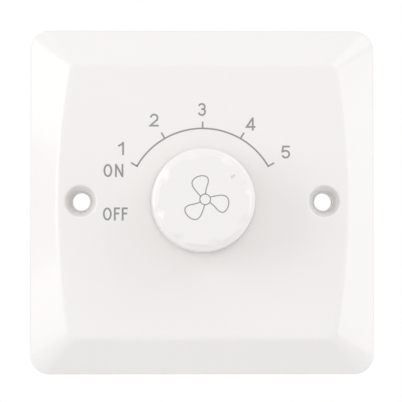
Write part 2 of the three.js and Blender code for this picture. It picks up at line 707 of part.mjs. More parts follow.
function housingScrews() {
  CORNERS.forEach(([sx, sz], i) => {
    const x = sx * EAR.x;
    const z = sz * EAR.z;
    const seat = EAR.back + GAP;
    const slotFloor = seat + EAR_SCREW.headHeight - EAR_SCREW.slotDepth;
    const screw = cut(
      join(
        rodY(EAR_SCREW.head, seat, seat + EAR_SCREW.headHeight, x, z, 20),
        rodY(EAR_SCREW.shank, seat - EAR_SCREW.length, seat + 0.5, x, z, 12),
      ),
      block(x - EAR_SCREW.slot, x + EAR_SCREW.slot, slotFloor, slotFloor + 2, z - 0.3, z + 0.3),
      block(x - 0.3, x + 0.3, slotFloor, slotFloor + 2, z - EAR_SCREW.slot, z + EAR_SCREW.slot),
    );
    add(`housing_screw_${i + 1}`, screw, STEEL);
  });
}

frontPlate();
knob();
knobSpring();
shaft();
bushAndNut();
potentiometer();
mainsSwitch();
circuitBoard();
triacOnHeatSink();
choke();
standingPart("film_capacitor", block(6.4, 14, BOARD.back + 0.5, 25.5, -14, 4.6), LEADS.film, YELLOW);
const disc = block(8.3, 15.7, BOARD.back + 0.5, 19, 10.7, 13.3);
standingPart("timing_capacitor", disc, LEADS.timing, GREEN_PLASTIC);
axialPart("diac", LEADS.diac, 1, 2.1, GLASS);
axialPart("resistor_1", LEADS.resistorOne, 1.3, 3.6, BEIGE);
axialPart("resistor_2", LEADS.resistorTwo, 1.3, 3.6, BEIGE);
fuse();
terminalBlock();
rearHousing();
housingScrews();

export default controller;
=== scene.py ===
"""Wall-plate rotary fan speed controller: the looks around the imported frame. Blender 4.5, metres."""
import bmesh
import bpy
import json
import math
from mathutils import Matrix, Vector


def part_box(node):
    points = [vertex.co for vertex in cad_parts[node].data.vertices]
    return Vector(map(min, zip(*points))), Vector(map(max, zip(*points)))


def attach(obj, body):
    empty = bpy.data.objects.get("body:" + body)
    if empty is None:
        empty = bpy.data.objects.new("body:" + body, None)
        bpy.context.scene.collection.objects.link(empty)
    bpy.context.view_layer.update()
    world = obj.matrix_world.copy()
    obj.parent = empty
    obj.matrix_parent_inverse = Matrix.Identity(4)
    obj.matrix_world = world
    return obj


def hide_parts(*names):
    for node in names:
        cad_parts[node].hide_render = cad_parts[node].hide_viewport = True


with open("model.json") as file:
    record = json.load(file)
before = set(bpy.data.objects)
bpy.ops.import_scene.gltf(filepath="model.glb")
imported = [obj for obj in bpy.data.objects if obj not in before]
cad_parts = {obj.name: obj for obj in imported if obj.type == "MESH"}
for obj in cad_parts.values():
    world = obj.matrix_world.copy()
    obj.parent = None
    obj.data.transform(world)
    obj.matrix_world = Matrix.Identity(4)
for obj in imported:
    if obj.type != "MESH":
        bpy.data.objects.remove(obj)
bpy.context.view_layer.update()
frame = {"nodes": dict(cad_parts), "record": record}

MM = 0.001
NODES = frame["nodes"]
SLOT_OF = {s["node"]: s["material_slot"] for s in frame["record"]["subparts"]}

# ---------------------------------------------------------------- sizes taken from the frame

PLATE_LOW, PLATE_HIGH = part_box("front_plate")
HALF = PLATE_HIGH.x  # half the plate's width
PANEL_Y = PLATE_LOW.y  # the plane of the raised panel
KNOB_LOW, KNOB_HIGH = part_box("knob")
KNOB_R = KNOB_HIGH.x
FACE_Y = KNOB_LOW.y
KNOB_BASE_Y = KNOB_HIGH.y
BOARD_LOW, BOARD_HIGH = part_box("circuit_board")
BOARD_FRONT, BOARD_BACK = BOARD_LOW.y / MM, BOARD_HIGH.y / MM
SCREWS = [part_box(f"housing_screw_{i}") for i in range(1, 5)]
FIXING_X = frame["record"]["mounts"][-1]["pos_m"][0]

# ---------------------------------------------------------------- camera

# The view is almost straight on: the lens is a little left of and below the middle of the plate.
EYE = Vector((-10.0, -540.0, -17.5)) * MM
AIM = Vector((-0.25, 0.0, 0.35)) * MM


def make_camera():
    data = bpy.data.cameras.new("camera")
    data.sensor_width = 36
    data.lens = 192.6
    camera = bpy.data.objects.new("camera", data)
    camera.location = EYE
    camera.rotation_euler = (AIM - EYE).to_track_quat("-Z", "Y").to_euler()
    bpy.context.scene.collection.objects.link(camera)
    bpy.context.scene.camera = camera


make_camera()

# ---------------------------------------------------------------- mesh helpers


def add_object(name, mesh, body, slot, replaced=(), material=None):
    """A piece that rides on a body, in its slot's material unless another is given."""
    piece = bpy.data.objects.new(name, mesh)
    bpy.context.scene.collection.objects.link(piece)
    mesh.materials.clear()
    mesh.materials.append(material or MATERIALS[slot])
    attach(piece, body)
    if replaced:
        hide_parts(*replaced)
    return piece


def mesh_from(name, build):
    bm = bmesh.new()
    build(bm)
    bmesh.ops.remove_doubles(bm, verts=bm.verts, dist=1e-7)
    bmesh.ops.recalc_face_normals(bm, faces=bm.faces)
    mesh = bpy.data.meshes.new(name)
    bm.to_mesh(mesh)
    bm.free()
    return mesh


def smooth(mesh, angle=35):
    mesh.shade_smooth()
    mesh.set_sharp_from_angle(angle=math.radians(angle))
    return mesh


def bridge(bm, ring_a, ring_b, closed=True):
    count = len(ring_a)
    for i in range(count if closed else count - 1):
        j = (i + 1) % count
        bm.faces.new((ring_a[i], ring_a[j], ring_b[j], ring_b[i]))


def rings_mesh(name, rings, looped=False):
    """A closed skin through rings of points; its ends are filled flat, or meet each other if looped."""

    def build(bm):
        made = [[bm.verts.new(p) for p in ring] for ring in rings]
        for a, b in zip(made, made[1:]):
            bridge(bm, a, b)
        if looped:
            bridge(bm, made[-1], made[0])
        else:
            bm.faces.new(made[0])
            bm.faces.new(made[-1])

    return mesh_from(name, build)


def revolve(profile, steps, centre=(0, 0, 0), axis="Y"):
    """Rings about an axis through centre, from (radius, height) points in metres."""
    rings = []
    for radius, height in profile:
        ring = []
        for i in range(steps):
            angle = 2 * math.pi * i / steps
            c, s = radius * math.cos(angle), radius * math.sin(angle)
            place = {"Y": (c, height, s), "X": (height, c, s), "Z": (c, s, height)}[axis]
            ring.append(Vector(place) + Vector(centre))
        rings.append(ring)
    return rings


def temporary(mesh):
    obj = bpy.data.objects.new(mesh.name, mesh)
    bpy.context.scene.collection.objects.link(obj)
    return obj


def carved(mesh, joins=(), cuts=()):
    """The mesh with others joined to it and cut out of it."""
    obj = temporary(mesh)
    helpers = []
    for operation, others in (("UNION", joins), ("DIFFERENCE", cuts)):
        for other in others:
            tool = temporary(other)
            helpers.append(tool)
            modifier = obj.modifiers.new("carve", "BOOLEAN")
            modifier.operation = operation
            modifier.solver = "EXACT"
            modifier.object = tool
    graph = bpy.context.evaluated_depsgraph_get()
    result = bpy.data.meshes.new_from_object(obj.evaluated_get(graph))
    result.name = mesh.name
    for helper in [obj, *helpers]:
        bpy.data.objects.remove(helper)
    return result


def bezier(start, control, end, steps):
    """Points on a quadratic curve, ends included."""
    points = []
    for i in range(steps + 1):
        t = i / steps
        points.append(start * (1 - t) ** 2 + control * 2 * t * (1 - t) + end * t * t)
    return points


def rounded(points, radius, steps=4):
    """The line of points with each inner corner rounded off."""
    points = [Vector(p) for p in points]
    line = [points[0]]
    for before, corner, after in zip(points, points[1:], points[2:]):
        reach = [min(radius, 0.45 * (side - corner).length) for side in (before, after)]
        start = corner + (before - corner).normalized() * reach[0]
        end = corner + (after - corner).normalized() * reach[1]
        line += bezier(start, corner, end, steps)
    return [*line, points[-1]]


def turned(name, profile, centre, radius=0.15, steps=48, axis="Y", looped=False):
    """A turned solid from (radius, height) points in millimetres, with rounded corners."""
    if looped:
        first, last = Vector(profile[0]), Vector(profile[-1])
        middle = (first + last) / 2
        profile = [tuple(middle), *profile, tuple(middle)]
    line = rounded(profile, radius)
    if looped:
        line = line[:-1]
    rings = revolve([(p.x * MM, p.y * MM) for p in line], steps, [c * MM for c in centre], axis)
    return rings_mesh(name, rings, looped)


def box_mesh(low, high):
    """A plain box between two corners in millimetres, used as a cutter."""
    ring = [(low[0], low[2]), (high[0], low[2]), (high[0], high[2]), (low[0], high[2])]
    return rings_mesh("box", [[Vector((x, y, z)) * MM for x, z in ring] for y in (low[1], high[1])])


def tube_mesh(name, lines, radius, sides=12):
    """Round wires, each along a line of points in millimetres."""

    def build(bm):
        for line in lines:
            points = [Vector(p) for p in line]
            across = (points[1] - points[0]).orthogonal().normalized()
            rings = []
            for i, here in enumerate(points):
                along = (points[min(i + 1, len(points) - 1)] - points[max(i - 1, 0)]).normalized()
                across = (across - along * across.dot(along)).normalized()
                third = along.cross(across)
                turns = [2 * math.pi * k / sides for k in range(sides)]
                ring = [here + radius * (across * math.cos(a) + third * math.sin(a)) for a in turns]
                rings.append([bm.verts.new(p * MM) for p in ring])
            for a, b in zip(rings, rings[1:]):
                bridge(bm, a, b)
            bm.faces.new(rings[0])
            bm.faces.new(rings[-1])

    return mesh_from(name, build)


def joined(name, meshes):
    """Several separate solids as one mesh."""

    def build(bm):
        for mesh in meshes:
            bm.from_mesh(mesh)

    return mesh_from(name, build)


def soften(piece, width, angle=40):
    """Small rounded edges on a piece, with its flat faces kept flat."""
    flat = piece.modifiers.new("flat", "DECIMATE")
    flat.decimate_type = "DISSOLVE"
    flat.angle_limit = math.radians(1)
    edge = piece.modifiers.new("edge", "BEVEL")
    edge.width = width * MM
    edge.segments = 2
    edge.limit_method = "ANGLE"
    edge.angle_limit = math.radians(angle)
    edge.harden_normals = True


# ---------------------------------------------------------------- materials


def new_material(name):
    material = bpy.data.materials.new(name)
    material.use_nodes = True
    tree = material.node_tree
    return material, tree, tree.nodes["Principled BSDF"]


def plastic(name, colour, roughness, speck=0.01, grain=900, bump=0.02, coat=0.0):
    """Moulded plastic: a faint drift of colour, slightly uneven gloss and a fine surface wave."""
    material, tree, shader = new_material(name)
    nodes, links = tree.nodes, tree.links
    coordinates = nodes.new("ShaderNodeTexCoord")
    drift = nodes.new("ShaderNodeTexNoise")
    drift.inputs["Scale"].default_value = 40
    drift.inputs["Detail"].default_value = 3
    links.new(coordinates.outputs["Object"], drift.inputs["Vector"])
    mix = nodes.new("ShaderNodeMix")
    mix.data_type = "RGBA"
    dark = [c * (1 - speck) for c in colour]
    light = [min(1.0, c * (1 + speck)) for c in colour]
    mix.inputs[6].default_value = (*dark, 1)
    mix.inputs[7].default_value = (*light, 1)
    links.new(drift.outputs["Fac"], mix.inputs["Factor"])
    links.new(mix.outputs[2], shader.inputs["Base Color"])
    fine = nodes.new("ShaderNodeTexNoise")
    fine.inputs["Scale"].default_value = grain
    fine.inputs["Detail"].default_value = 2
    links.new(coordinates.outputs["Object"], fine.inputs["Vector"])
    gloss = nodes.new("ShaderNodeMapRange")
    gloss.inputs["To Min"].default_value = roughness * 0.9
    gloss.inputs["To Max"].default_value = roughness * 1.15
    links.new(fine.outputs["Fac"], gloss.inputs["Value"])
    links.new(gloss.outputs["Result"], shader.inputs["Roughness"])
    wave = nodes.new("ShaderNodeBump")
    wave.inputs["Strength"].default_value = bump
    wave.inputs["Distance"].default_value = 0.0002
    links.new(fine.outputs["Fac"], wave.inputs["Height"])
    links.new(wave.outputs["Normal"], shader.inputs["Normal"])
    shader.inputs["Coat Weight"].default_value = coat
    return material


def metal(name, colour, roughness, stretch=(1, 1, 1), scale=600):
    """Metal with a drawn or turned grain in its roughness and its surface."""
    material, tree, shader = new_material(name)
    nodes, links = tree.nodes, tree.links
    shader.inputs["Metallic"].default_value = 1.0
    coordinates = nodes.new("ShaderNodeTexCoord")
    mapping = nodes.new("ShaderNodeMapping")
    mapping.inputs["Scale"].default_value = stretch
    links.new(coordinates.outputs["Object"], mapping.inputs["Vector"])
    grain = nodes.new("ShaderNodeTexNoise")
    grain.inputs["Scale"].default_value = scale
    grain.inputs["Detail"].default_value = 4
    links.new(mapping.outputs["Vector"], grain.inputs["Vector"])
    tint = nodes.new("ShaderNodeMix")
    tint.data_type = "RGBA"
    tint.inputs[6].default_value = (*[c * 0.82 for c in colour], 1)
    tint.inputs[7].default_value = (*colour, 1)
    links.new(grain.outputs["Fac"], tint.inputs["Factor"])
    links.new(tint.outputs[2], shader.inputs["Base Color"])
    gloss = nodes.new("ShaderNodeMapRange")
    gloss.inputs["To Min"].default_value = roughness * 0.7
    gloss.inputs["To Max"].default_value = roughness * 1.4
    links.new(grain.outputs["Fac"], gloss.inputs["Value"])
    links.new(gloss.outputs["Result"], shader.inputs["Roughness"])
    wave = nodes.new("ShaderNodeBump")
    wave.inputs["Strength"].default_value = 0.15
    wave.inputs["Distance"].default_value = 0.0001
    links.new(grain.outputs["Fac"], wave.inputs["Height"])
    links.new(wave.outputs["Normal"], shader.inputs["Normal"])
    return material


MATERIALS = {
    "white_plastic": plastic("white_plastic", (0.86, 0.84, 0.825), 0.22, speck=0.006, bump=0.012, coat=0.15),
    "grey_plastic": plastic("grey_plastic", (0.40, 0.41, 0.42), 0.55, speck=0.05, bump=0.25),
    "dark_plastic": plastic("dark_plastic", (0.025, 0.026, 0.028), 0.45, speck=0.1, bump=0.15),
    "phenolic": plastic("phenolic", (0.33, 0.16, 0.06), 0.6, speck=0.2, grain=1500, bump=0.1),
    "board_green": plastic("board_green", (0.015, 0.13, 0.06), 0.35, speck=0.12, grain=2500, bump=0.1),
    "capacitor_yellow": plastic("capacitor_yellow", (0.66, 0.42, 0.04), 0.3, speck=0.04, bump=0.05),
    "capacitor_green": plastic("capacitor_green", (0.02, 0.16, 0.06), 0.25, speck=0.05, bump=0.3, grain=300),
    "resistor_beige": plastic("resistor_beige", (0.56, 0.38, 0.2), 0.35, speck=0.05, bump=0.1),
    "pad_grey": plastic("pad_grey", (0.3, 0.31, 0.32), 0.7, speck=0.08, bump=0.2),
    "ferrite": plastic("ferrite", (0.45, 0.42, 0.05), 0.5, speck=0.08, bump=0.2),
    "glass": plastic("glass", (0.85, 0.88, 0.87), 0.08, speck=0.01, bump=0.0),
    "brass": metal("brass", (0.72, 0.5, 0.2), 0.3),
    "steel": metal("steel", (0.62, 0.62, 0.64), 0.3),
    "tinned": metal("tinned", (0.72, 0.72, 0.73), 0.28),
    "aluminium": metal("aluminium", (0.75, 0.76, 0.77), 0.38, stretch=(1, 1, 12)),
    "copper_enamel": metal("copper_enamel", (0.6, 0.2, 0.07), 0.22),
}
INK = plastic("ink_grey", (0.30, 0.295, 0.29), 0.45, speck=0.03, bump=0.05, grain=1800)


def clear_glass():
    """Drawn glass tube, with faint waves."""
    material, tree, shader = new_material("clear_glass")
    nodes, links = tree.nodes, tree.links
    shader.inputs["Base Color"].default_value = (0.93, 0.97, 0.96, 1)
    shader.inputs["Roughness"].default_value = 0.03
    shader.inputs["Transmission Weight"].default_value = 1.0
    shader.inputs["IOR"].default_value = 1.5
    coordinates = nodes.new("ShaderNodeTexCoord")
    waves = nodes.new("ShaderNodeTexNoise")
    waves.inputs["Scale"].default_value = 150
    links.new(coordinates.outputs["Object"], waves.inputs["Vector"])
    bump = nodes.new("ShaderNodeBump")
    bump.inputs["Strength"].default_value = 0.05
    bump.inputs["Distance"].default_value = 0.0002
    links.new(waves.outputs["Fac"], bump.inputs["Height"])
    links.new(bump.outputs["Normal"], shader.inputs["Normal"])
    return material


CLEAR_GLASS = clear_glass()
BAND_PAINTS = [
    plastic("band_brown", (0.12, 0.04, 0.015), 0.35, bump=0.05),
    plastic("band_black", (0.02, 0.02, 0.02), 0.35, bump=0.05),
    plastic("band_orange", (0.75, 0.2, 0.02), 0.35, bump=0.05),
    metal("band_gold", (0.65, 0.45, 0.12), 0.4),
]
SOLDER = metal("solder", (0.7, 0.7, 0.72), 0.2, scale=300)

# How far the edges of each carried-over solid are rounded, in millimetres.
EDGES = {"terminal_block": 0.3, "heat_sink": 0.2, "pot_cover": 0.3, "switch_case": 0.35, "bush_nut": 0.3}
SMALL_EDGE = 0.1

for node, obj in NODES.items():
    obj.data.materials.clear()
    obj.data.materials.append(MATERIALS[SLOT_OF[node]])
    smooth(obj.data, 32)
    soften(obj, EDGES.get(node, SMALL_EDGE))

# ---------------------------------------------------------------- front plate

PANEL_HALF_X = 35.9 * MM
PANEL_HALF_Z = 34.0 * MM
PANEL_CORNER = 1.8 * MM
PANEL_BULGE = 3.3 * MM
RIM_Y = -2.2 * MM
OUTER_CORNER = 5.0 * MM
WALL = 2.2 * MM
PANEL_INSET = 3.0 * MM  # keeps the ends of the skin's front and back clear of their round edges
PANEL_BACK_Y = PANEL_Y + 2.3 * MM
PANEL_MARGIN = 0.15 * MM

# The rest are in millimetres.
FIXING_HOLE_R = 2.2
FIXING_BOSS_R = 5.4
BUSH_HOLE_R = 3.8
PILLAR = {"radius": 2, "x": 19, "z": 24}
EAR_BOSS = {"radius": 3, "back": -3.9, "bore": 1.5}
CLEARANCE = 0.3


def outline(half_x, half_z, corner, bulge, y, corner_steps=14, side_steps=28):
    """A rectangle with round corners whose left and right sides bow out, as one ring of points."""
    ring = []

    def put(x, z):
        ring.append(Vector((x * (1 - bulge / half_x * (z / half_z) ** 2), y, z)))

    centre_x, centre_z = half_x - corner, half_z - corner
    signs = ((1, 1), (-1, 1), (-1, -1), (1, -1))
    for quarter, (sx, sz) in enumerate(signs):
        for step in range(corner_steps + 1):
            angle = (quarter + step / corner_steps) * math.pi / 2
            put(sx * centre_x + corner * math.cos(angle), sz * centre_z + corner * math.sin(angle))
        next_x, next_z = signs[(quarter + 1) % 4]
        for step in range(1, side_steps):
            t = step / side_steps
            if quarter % 2 == 0:
                put(centre_x * (sx * (1 - t) + next_x * t), sz * half_z)
            else:
                put(sx * half_x, centre_z * (sz * (1 - t) + next_z * t))
    return ring


def filleted(rings_of_corners, radii, steps=6):
    """Rings through corner rings, with each inner corner rounded off over its radius."""
    columns = []
    for column in zip(*rings_of_corners):
        points = [column[0]]
        for before, corner, after, radius in zip(column, column[1:], column[2:], radii):
            start = corner + (before - corner).normalized() * radius
            end = corner + (after - corner).normalized() * radius
            points += bezier(start, corner, end, steps)
        points.append(column[-1])
        columns.append(points)
    return [list(ring) for ring in zip(*columns)]


def plate_skin():
    """The moulding without its bosses and holes."""
    inside = HALF - WALL
    panel = (PANEL_HALF_X, PANEL_HALF_Z, PANEL_CORNER, PANEL_BULGE)
    smaller = (PANEL_HALF_X - PANEL_INSET, PANEL_HALF_Z - PANEL_INSET, PANEL_CORNER, PANEL_BULGE)
    floor = (PANEL_HALF_X - 0.7 * MM, PANEL_HALF_Z - 0.7 * MM, 1.2 * MM, PANEL_BULGE)
    corners = [
        outline(*smaller, PANEL_Y),
        outline(*panel, PANEL_Y),
        outline(HALF, HALF, OUTER_CORNER, 0, RIM_Y),
        outline(HALF, HALF, OUTER_CORNER, 0, 0),
        outline(inside, inside, 3 * MM, 0, 0),
        outline(inside, inside, 3 * MM, 0, -1.2 * MM),
        outline(*floor, PANEL_BACK_Y),
        outline(floor[0] - PANEL_INSET, floor[1] - PANEL_INSET, 1.2 * MM, PANEL_BULGE, PANEL_BACK_Y),
    ]
    radii = [r * MM for r in (0.9, 0.55, 0.25, 0.2, 0.3, 0.8)]
    return rings_mesh("plate_skin", filleted(corners, radii))


def recess_cutter(x):
    """The screw hole: a rounded lip, a tapered recess and a through hole."""
    y = PANEL_Y / MM
    profile = [
        (0.001, y - 1.0),
        (4.3, y - 1.0),
        (4.3, y - 0.03),
        (4.12, y + 0.03),
        (3.96, y + 0.13),
        (3.85, y + 0.3),
        (3.78, y + 0.55),
        (2.5, y + 4.85),
        (2.25, y + 4.97),
        (FIXING_HOLE_R, y + 5.15),
        (FIXING_HOLE_R, 1.0),
        (0.001, 1.0),
    ]
    rings = revolve([(r * MM, h * MM) for r, h in profile], 96, (x, 0, 0))
    return rings_mesh("recess", rings)


def boss(radius, top, x, z, edge=0.3, steps=40):
    base = PANEL_BACK_Y / MM - 1.0
    profile = [
        (radius + 0.25, base),
        (radius, base + 1.6),
        (radius - 0.08, top - edge),
        (radius - edge, top),
    ]
    rings = revolve([(r * MM, h * MM) for r, h in profile], steps, (x, 0, z))
    return rings_mesh("boss", rings)


def hole(radius, low, high, x, z, steps=32):
    rings = revolve([(radius * MM, low * MM), (radius * MM, high * MM)], steps, (x, 0, z))
    return rings_mesh("hole", rings)


def with_margin(mesh):
    """A narrow flat band along the panel's edge and holes, which keeps the shading of its face even."""
    bm = bmesh.new()
    bm.from_mesh(mesh)
    face_on = [f for f in bm.faces if f.normal.y < -0.9999]
    panel = [f for f in face_on if abs(f.calc_center_median().y - PANEL_Y) < 0.001 * MM]
    bmesh.ops.inset_region(bm, faces=panel, thickness=PANEL_MARGIN, use_boundary=True, use_even_offset=True)
    bm.to_mesh(mesh)
    bm.free()
    return mesh


def front_plate():
    joins, cuts = [], [hole(BUSH_HOLE_R, PANEL_Y / MM - 1, 1, 0, 0, 64)]
    for side in (-1, 1):
        joins.append(boss(FIXING_BOSS_R, 0, side * FIXING_X, 0, steps=56))
        cuts.append(recess_cutter(side * FIXING_X))
    for sx in (-1, 1):
        for sz in (-1, 1):
            x, z = sx * PILLAR["x"] * MM, sz * PILLAR["z"] * MM
            joins.append(boss(PILLAR["radius"], BOARD_FRONT - CLEARANCE, x, z))
    for low, high in SCREWS:
        x, z = (low.x + high.x) / 2, (low.z + high.z) / 2
        joins.append(boss(EAR_BOSS["radius"], EAR_BOSS["back"], x, z))
        cuts.append(hole(EAR_BOSS["bore"], PANEL_BACK_Y / MM - 0.6, 1, x, z))
    mesh = smooth(with_margin(carved(plate_skin(), joins, cuts)), 40)
    mesh.name = "plate"
    piece = add_object("plate", mesh, "base", "white_plastic", ["front_plate"])
    weighted = piece.modifiers.new("even", "WEIGHTED_NORMAL")
    weighted.keep_sharp = True
    weighted.weight = 100


# ---------------------------------------------------------------- knob

FLUTES = 8
FIRST_FLUTE = math.radians(15)
POINTER = math.radians(37.5)
FLUTE_TILT = math.radians(66)
FLUTE_R = 5.6 * MM
FLUTE_INNER = 9.85 * MM  # nearest the scoops come to the knob's axis, at the face
FLUTE_AXIS_R = FLUTE_INNER + FLUTE_R / math.cos(FLUTE_TILT)
FLUTE_DEPTH = 1.6 * MM  # how far below the face they reach
FLUTE_BLEND = 0.16 * MM
STATION = 0.14  # the longest step down the knob's side, in millimetres
GROOVE = {
    "inner": 8.25 * MM,
    "outer": 9.65 * MM,
    "half": 0.42 * MM,
    "depth": 0.35 * MM,
    "edge": 0.16 * MM,
}


def smooth_max(a, b, width):
    """The larger of two lengths, with a round passage between them."""
    h = min(1.0, max(0.0, 0.5 + 0.5 * (a - b) / width))
    return b + (a - b) * h + width * h * (1 - h)


def smooth_step(low, high, value):
    t = min(1.0, max(0.0, (value - low) / (high - low)))
    return t * t * (3 - 2 * t)


def scooped(point):
    """The point moved out of the nearest scoop round the knob's face."""
    angle = math.atan2(point.z, point.x) - FIRST_FLUTE
    pitch = 2 * math.pi / FLUTES
    centre = FIRST_FLUTE + round(angle / pitch) * pitch
    turn = Matrix.Rotation(centre, 3, "Y")
    local = turn @ point
    axis = Vector((math.sin(FLUTE_TILT), math.cos(FLUTE_TILT), 0))
    start = Vector((FLUTE_AXIS_R, FACE_Y, 0))
    along = (local - start).dot(axis)
    foot = start + axis * along
    away = local - foot
    reach = smooth_max(away.length, FLUTE_R, FLUTE_BLEND)
    return turn.inverted() @ (foot + away.normalized() * reach)


def grooved(point):
    """The point sunk where the pointer groove is."""
    local = Matrix.Rotation(POINTER, 3, "Y") @ point
    middle = (GROOVE["inner"] + GROOVE["outer"]) / 2
    half_long = (GROOVE["outer"] - GROOVE["inner"]) / 2 - GROOVE["half"]
    beyond = max(0.0, abs(local.x - middle) - half_long)
    distance = math.hypot(beyond, local.z)
    depth = GROOVE["depth"] * (1 - smooth_step(GROOVE["half"] - GROOVE["edge"], GROOVE["half"], distance))
    return point + Vector((0, depth, 0))


def stations(start, end, step):
    count = max(1, round(abs(end - start) / step))
    return [start + (end - start) * i / count for i in range(count)]


def knob_profile():
    """(radius, y) points in millimetres from the face's middle round to the bore."""
    face, base = FACE_Y / MM, KNOB_BASE_Y / MM
    edge = Vector((10.95, face))
    ledge = Vector((11.7, face + 0.8))
    shoulder = Vector((12.42, face + 1.15))
    waist = Vector((12.5, base - 1.8))
    rim = Vector((KNOB_R / MM, base - 0.5))
    toe = Vector((rim.x, base))
    points = [(0.02, face)]
    points += [(r, face) for r in stations(1.0, 7.6, 0.8)]
    points += [(r, face) for r in stations(7.6, edge.x - 0.25, 0.11)]
    outside = [edge - Vector((0.25, 0))]
    for before, corner, after, radius, steps in (
        (Vector((0, face)), edge, ledge, 0.2, 5),
        (edge, ledge, shoulder, 0.2, 4),
        (ledge, shoulder, waist, 0.3, 6),
        (shoulder, waist, rim, 0.1, 3),
        (waist, rim, toe, 0.2, 5),
        (rim, toe, Vector((0, base)), 0.12, 3),
    ):
        start = corner + (before - corner).normalized() * radius
        end = corner + (after - corner).normalized() * radius
        span = (start - outside[-1]).length
        share = min(1, STATION / max(span, STATION))
        outside += [outside[-1].lerp(start, t) for t in stations(0, 1, share)[1:]]
        outside += bezier(start, corner, end, steps)
    points += [(p.x, p.y) for p in outside]
    inner_face = face + 2
    points += [(10.8, base), (10.6, base - 0.15), (10.3, base - 5)]
    points += [(10.1, inner_face + 0.6), (9.5, inner_face)]
    points += [(6.0, inner_face), (5.5, inner_face + 0.4), (5.4, -14.5), (5.1, -14.2)]
    points += [(4.0, -14.2), (3.75, -14.5), (3.75, -19.7), (0.02, -19.7)]
    return points


def in_reach_of_scoops(radius, y):
    return radius > FLUTE_INNER - 0.6 * MM and y < FACE_Y + FLUTE_DEPTH


def knob():
    profile = [(r * MM, y * MM) for r, y in knob_profile()]
    shaped = []
    for (radius, y), ring in zip(profile, revolve(profile, FLUTES * 72)):
        if in_reach_of_scoops(radius, y):
            ring = [scooped(p) for p in ring]
        if y < FACE_Y + 0.1 * MM:
            ring = [grooved(p) for p in ring]
        shaped.append(ring)
    mesh = smooth(rings_mesh("knob_moulding", shaped), 50)
    add_object("knob_moulding", mesh, "knob_body", "white_plastic", ["knob"])


# ---------------------------------------------------------------- printing

INK_DEEP = 0.03 * MM
LIFT = 0.012 * MM  # how far the print stands off the plastic
LIFT_STEP = 0.002 * MM  # each further stroke lies on the one before


def mitre(before, here, after):
    """The sideways direction at a point of a line, stretched so that a bend keeps the line's width."""
    way_in = (here - before).normalized() if here != before else (after - here).normalized()
    way_out = (after - here).normalized() if after != here else way_in
    along = (way_in + way_out).normalized()
    side = Vector((-along.y, along.x))
    return side / max(0.4, side.dot(Vector((-way_in.y, way_in.x))))


def ribbon(name, lines, width, y, body, closed=False):
    """Printed strokes, each a list of (x, z) points in metres, drawn as a thin solid strip."""

    def build(bm):
        for order, line in enumerate(lines):
            points = [Vector(p) for p in line]
            count = len(points)
            top, under = y - LIFT - order * LIFT_STEP, y + INK_DEEP
            rows = []
            for i, here in enumerate(points):
                before = points[i - 1] if closed or i > 0 else here
                after = points[(i + 1) % count] if closed or i < count - 1 else here
                side = mitre(before, here, after) * width / 2
                row = []
                for s, level in ((1, top), (-1, top), (-1, under), (1, under)):
                    row.append(bm.verts.new((here.x + s * side.x, level, here.y + s * side.y)))
                rows.append(row)
            for i in range(count if closed else count - 1):
                bridge(bm, rows[i], rows[(i + 1) % count])
            if not closed:
                bm.faces.new(rows[0])
                bm.faces.new(rows[-1])

    add_object(name, mesh_from(name, build), body, None, material=INK)


def arc(radius, start, end, centre=(0, 0), step=1.0):
    count = max(2, round(abs(end - start) / step))
    points = []
    for i in range(count + 1):
        angle = math.radians(start + (end - start) * i / count)
        points.append((centre[0] + radius * math.cos(angle), centre[1] + radius * math.sin(angle)))
    return points


DIAL_CENTRE = (0.0, -0.7 * MM)  # the print sits a little low on the panel
DIAL_R = 18.75 * MM
DIAL_LINE = 0.4 * MM
TICK = 1.7 * MM
TICKS = (150, 120, 90, 60, 30)


def dial():
    ribbon("dial_arc", [arc(DIAL_R, TICKS[0], TICKS[-1], DIAL_CENTRE)], DIAL_LINE, PANEL_Y, "base")
    lines = []
    for angle in TICKS:
        c, s = math.cos(math.radians(angle)), math.sin(math.radians(angle))
        inner, outer = DIAL_R - DIAL_LINE / 2, DIAL_R + TICK
        lines.append([(DIAL_CENTRE[0] + r * c, DIAL_CENTRE[1] + r * s) for r in (inner, outer)])
    ribbon("dial_ticks", lines, DIAL_LINE, PANEL_Y, "base")


# Plain printed characters, as strokes in millimetres about each character's middle.
TALL = 1.38  # from the middle to the centre line of a top or bottom stroke
BAR = 1.62  # from the middle to the flat end of an upright stroke


def letter_o(x):
    return [[(x + 0.86 * px, TALL * pz) for px, pz in arc(1, 0, 360, step=7.5)]]


def letter_n(x):
    return [
        [(x, -BAR), (x, BAR)],
        [(x + 1.62, -BAR), (x + 1.62, BAR)],
        [(x, BAR - 0.1), (x + 1.62, 0.1 - BAR)],
    ]


def letter_f(x):
    return [[(x, -BAR), (x, TALL), (x + 1.25, TALL)], [(x, 0.12), (x + 1.1, 0.12)]]


